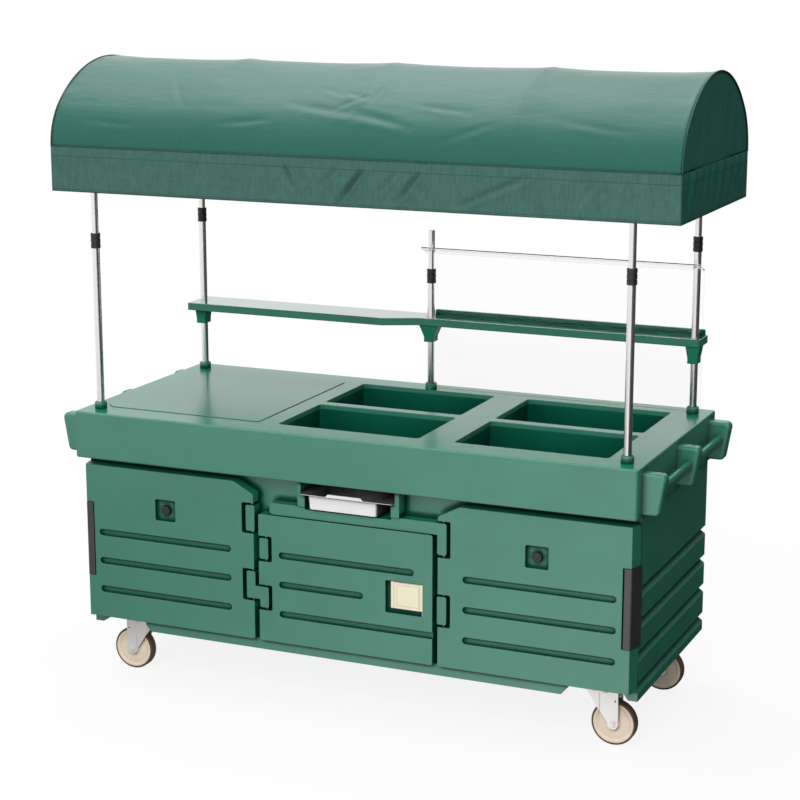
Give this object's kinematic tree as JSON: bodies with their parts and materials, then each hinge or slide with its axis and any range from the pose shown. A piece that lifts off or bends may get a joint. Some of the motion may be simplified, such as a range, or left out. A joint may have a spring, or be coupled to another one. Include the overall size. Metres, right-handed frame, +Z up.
{
  "type": "food cart",
  "caption": "Insulated food vending cart with food wells, a serving shelf with clear guard, doors to three bays, a pan tray, push handles, casters and a barrel canopy on telescoping poles.",
  "frame": {"origin": "on the floor under the middle of the cart's bounding box", "axes": "+X along the cart to the right seen from the door side, -Y towards the person at the door side, +Z up"},
  "size_m": [2.149, 0.876, 2.101],
  "materials": {
    "green_shell": "lightly pebbled moulded polyethylene, semi-gloss on the deck",
    "green_canvas": "coated canvas, satin",
    "clear_sheet": "clear acrylic sheet",
    "steel_tube": "satin stainless tube",
    "black_plastic": "black, satin",
    "hinge_steel": "satin",
    "caster_steel": "zinc plated, bright satin",
    "wheel_disc": "tan plastic",
    "wheel_tread": "dark brown tread",
    "gasket_rubber": "soft, matt",
    "white_plastic": "white, glossy",
    "cream_plastic": "cream, satin"
  },
  "bodies": {
    "cabinet": {"cabinet_body": "green_shell", "counter_top": "green_shell", "counter_panel": "green_shell", "left_well_liner": "green_shell", "right_well_liner": "green_shell", "left_hinge_pins": "hinge_steel", "middle_hinge_pins": "hinge_steel", "right_hinge_pins": "hinge_steel", "tray_runners": "hinge_steel", "pole_ferrules": "green_shell", "pole_collars": "black_plastic", "middle_lower_pole": "steel_tube", "front_left_lower_pole": "steel_tube", "front_right_lower_pole": "steel_tube", "rear_left_lower_pole": "steel_tube", "rear_right_lower_pole": "steel_tube", "serving_shelf": "green_shell", "rear_left_bracket": "green_shell", "middle_bracket": "green_shell", "rear_right_bracket": "green_shell", "upper_guard": "clear_sheet", "lower_guard": "clear_sheet", "caster_plates": "caster_steel"},
    "left_door": {"left_door": "green_shell", "left_gasket": "gasket_rubber"},
    "middle_door": {"middle_door": "green_shell", "middle_gasket": "gasket_rubber"},
    "right_door": {"right_door": "green_shell", "right_gasket": "gasket_rubber"},
    "left_latch": {"left_latch": "black_plastic"},
    "right_latch": {"right_latch": "black_plastic"},
    "left_vent_knob": {"left_vent_knob": "black_plastic"},
    "right_vent_knob": {"right_vent_knob": "black_plastic"},
    "paddle_latch": {"paddle_latch": "cream_plastic"},
    "tray": {"tray": "white_plastic"},
    "canopy": {"canopy_cover": "green_canvas", "canopy_rails": "steel_tube", "canopy_hoops": "steel_tube", "canopy_fittings": "black_plastic", "front_left_upper_pole": "steel_tube", "front_right_upper_pole": "steel_tube", "rear_left_upper_pole": "steel_tube", "rear_right_upper_pole": "steel_tube"},
    "middle_upper_pole": {"middle_upper_pole": "steel_tube"},
    "front_left_caster": {"front_left_fork": "caster_steel", "front_left_axle": "caster_steel"},
    "front_left_wheel": {"front_left_wheel": "wheel_disc", "front_left_tyre": "wheel_tread"},
    "front_right_caster": {"front_right_fork": "caster_steel", "front_right_axle": "caster_steel"},
    "front_right_wheel": {"front_right_wheel": "wheel_disc", "front_right_tyre": "wheel_tread"},
    "rear_left_caster": {"rear_left_fork": "caster_steel", "rear_left_axle": "caster_steel"},
    "rear_left_wheel": {"rear_left_wheel": "wheel_disc", "rear_left_tyre": "wheel_tread"},
    "rear_right_caster": {"rear_right_fork": "caster_steel", "rear_right_axle": "caster_steel"},
    "rear_right_wheel": {"rear_right_wheel": "wheel_disc", "rear_right_tyre": "wheel_tread"}
  },
  "joints": [
    {"name": "left_door_hinge", "type": "hinge", "parent": "cabinet", "child": "left_door", "pos_m": [-0.34, -0.39, 0.49], "axis": [0, 0, 1], "range_deg": [0, 85]},
    {"name": "middle_door_hinge", "type": "hinge", "parent": "cabinet", "child": "middle_door", "pos_m": [-0.291, -0.39, 0.45], "axis": [0, 0, -1], "range_deg": [0, 85]},
    {"name": "right_door_hinge", "type": "hinge", "parent": "cabinet", "child": "right_door", "pos_m": [0.34, -0.39, 0.49], "axis": [0, 0, -1], "range_deg": [0, 110]},
    {"name": "left_latch_turn", "type": "hinge", "parent": "left_door", "child": "left_latch", "pos_m": [-0.951, -0.403, 0.4995], "axis": [0, 0, 1], "range_deg": [0, 35]},
    {"name": "right_latch_turn", "type": "hinge", "parent": "right_door", "child": "right_latch", "pos_m": [0.951, -0.403, 0.4995], "axis": [0, 0, -1], "range_deg": [0, 35]},
    {"name": "left_vent_turn", "type": "hinge", "parent": "left_door", "child": "left_vent_knob", "pos_m": [-0.658, -0.405, 0.629], "axis": [0, -1, 0], "range_deg": [0, 90]},
    {"name": "right_vent_turn", "type": "hinge", "parent": "right_door", "child": "right_vent_knob", "pos_m": [0.658, -0.405, 0.629], "axis": [0, -1, 0], "range_deg": [0, 90]},
    {"name": "paddle_pull", "type": "hinge", "parent": "middle_door", "child": "paddle_latch", "pos_m": [0.274, -0.409, 0.445], "axis": [0, 0, 1], "range_deg": [0, 40], "stiffness_Nm_per_rad": 0.1},
    {"name": "tray_slide", "type": "slide", "parent": "cabinet", "child": "tray", "axis": [0, -1, 0], "range_m": [0, 0.12]},
    {"name": "canopy_height", "type": "slide", "parent": "cabinet", "child": "canopy", "axis": [0, 0, 1], "range_m": [-0.05, 0.2]},
    {"name": "middle_pole_height", "type": "slide", "parent": "cabinet", "child": "middle_upper_pole", "axis": [0, 0, 1], "range_m": [-0.08, 0.1]},
    {"name": "front_left_swivel", "type": "hinge", "parent": "cabinet", "child": "front_left_caster", "pos_m": [-0.834, -0.265, 0.19], "axis": [0, 0, 1], "continuous": true},
    {"name": "front_left_wheel_spin", "type": "hinge", "parent": "front_left_caster", "child": "front_left_wheel", "pos_m": [-0.876, -0.265, 0.0735], "axis": [0, 1, 0], "continuous": true},
    {"name": "front_right_swivel", "type": "hinge", "parent": "cabinet", "child": "front_right_caster", "pos_m": [0.834, -0.265, 0.19], "axis": [0, 0, 1], "continuous": true},
    {"name": "front_right_wheel_spin", "type": "hinge", "parent": "front_right_caster", "child": "front_right_wheel", "pos_m": [0.876, -0.265, 0.0735], "axis": [0, 1, 0], "continuous": true},
    {"name": "rear_left_swivel", "type": "hinge", "parent": "cabinet", "child": "rear_left_caster", "pos_m": [-0.834, 0.265, 0.19], "axis": [0, 0, 1], "continuous": true},
    {"name": "rear_left_wheel_spin", "type": "hinge", "parent": "rear_left_caster", "child": "rear_left_wheel", "pos_m": [-0.876, 0.265, 0.0735], "axis": [0, 1, 0], "continuous": true},
    {"name": "rear_right_swivel", "type": "hinge", "parent": "cabinet", "child": "rear_right_caster", "pos_m": [0.834, 0.265, 0.19], "axis": [0, 0, 1], "continuous": true},
    {"name": "rear_right_wheel_spin", "type": "hinge", "parent": "rear_right_caster", "child": "rear_right_wheel", "pos_m": [0.876, 0.265, 0.0735], "axis": [0, 1, 0], "continuous": true}
  ]
}
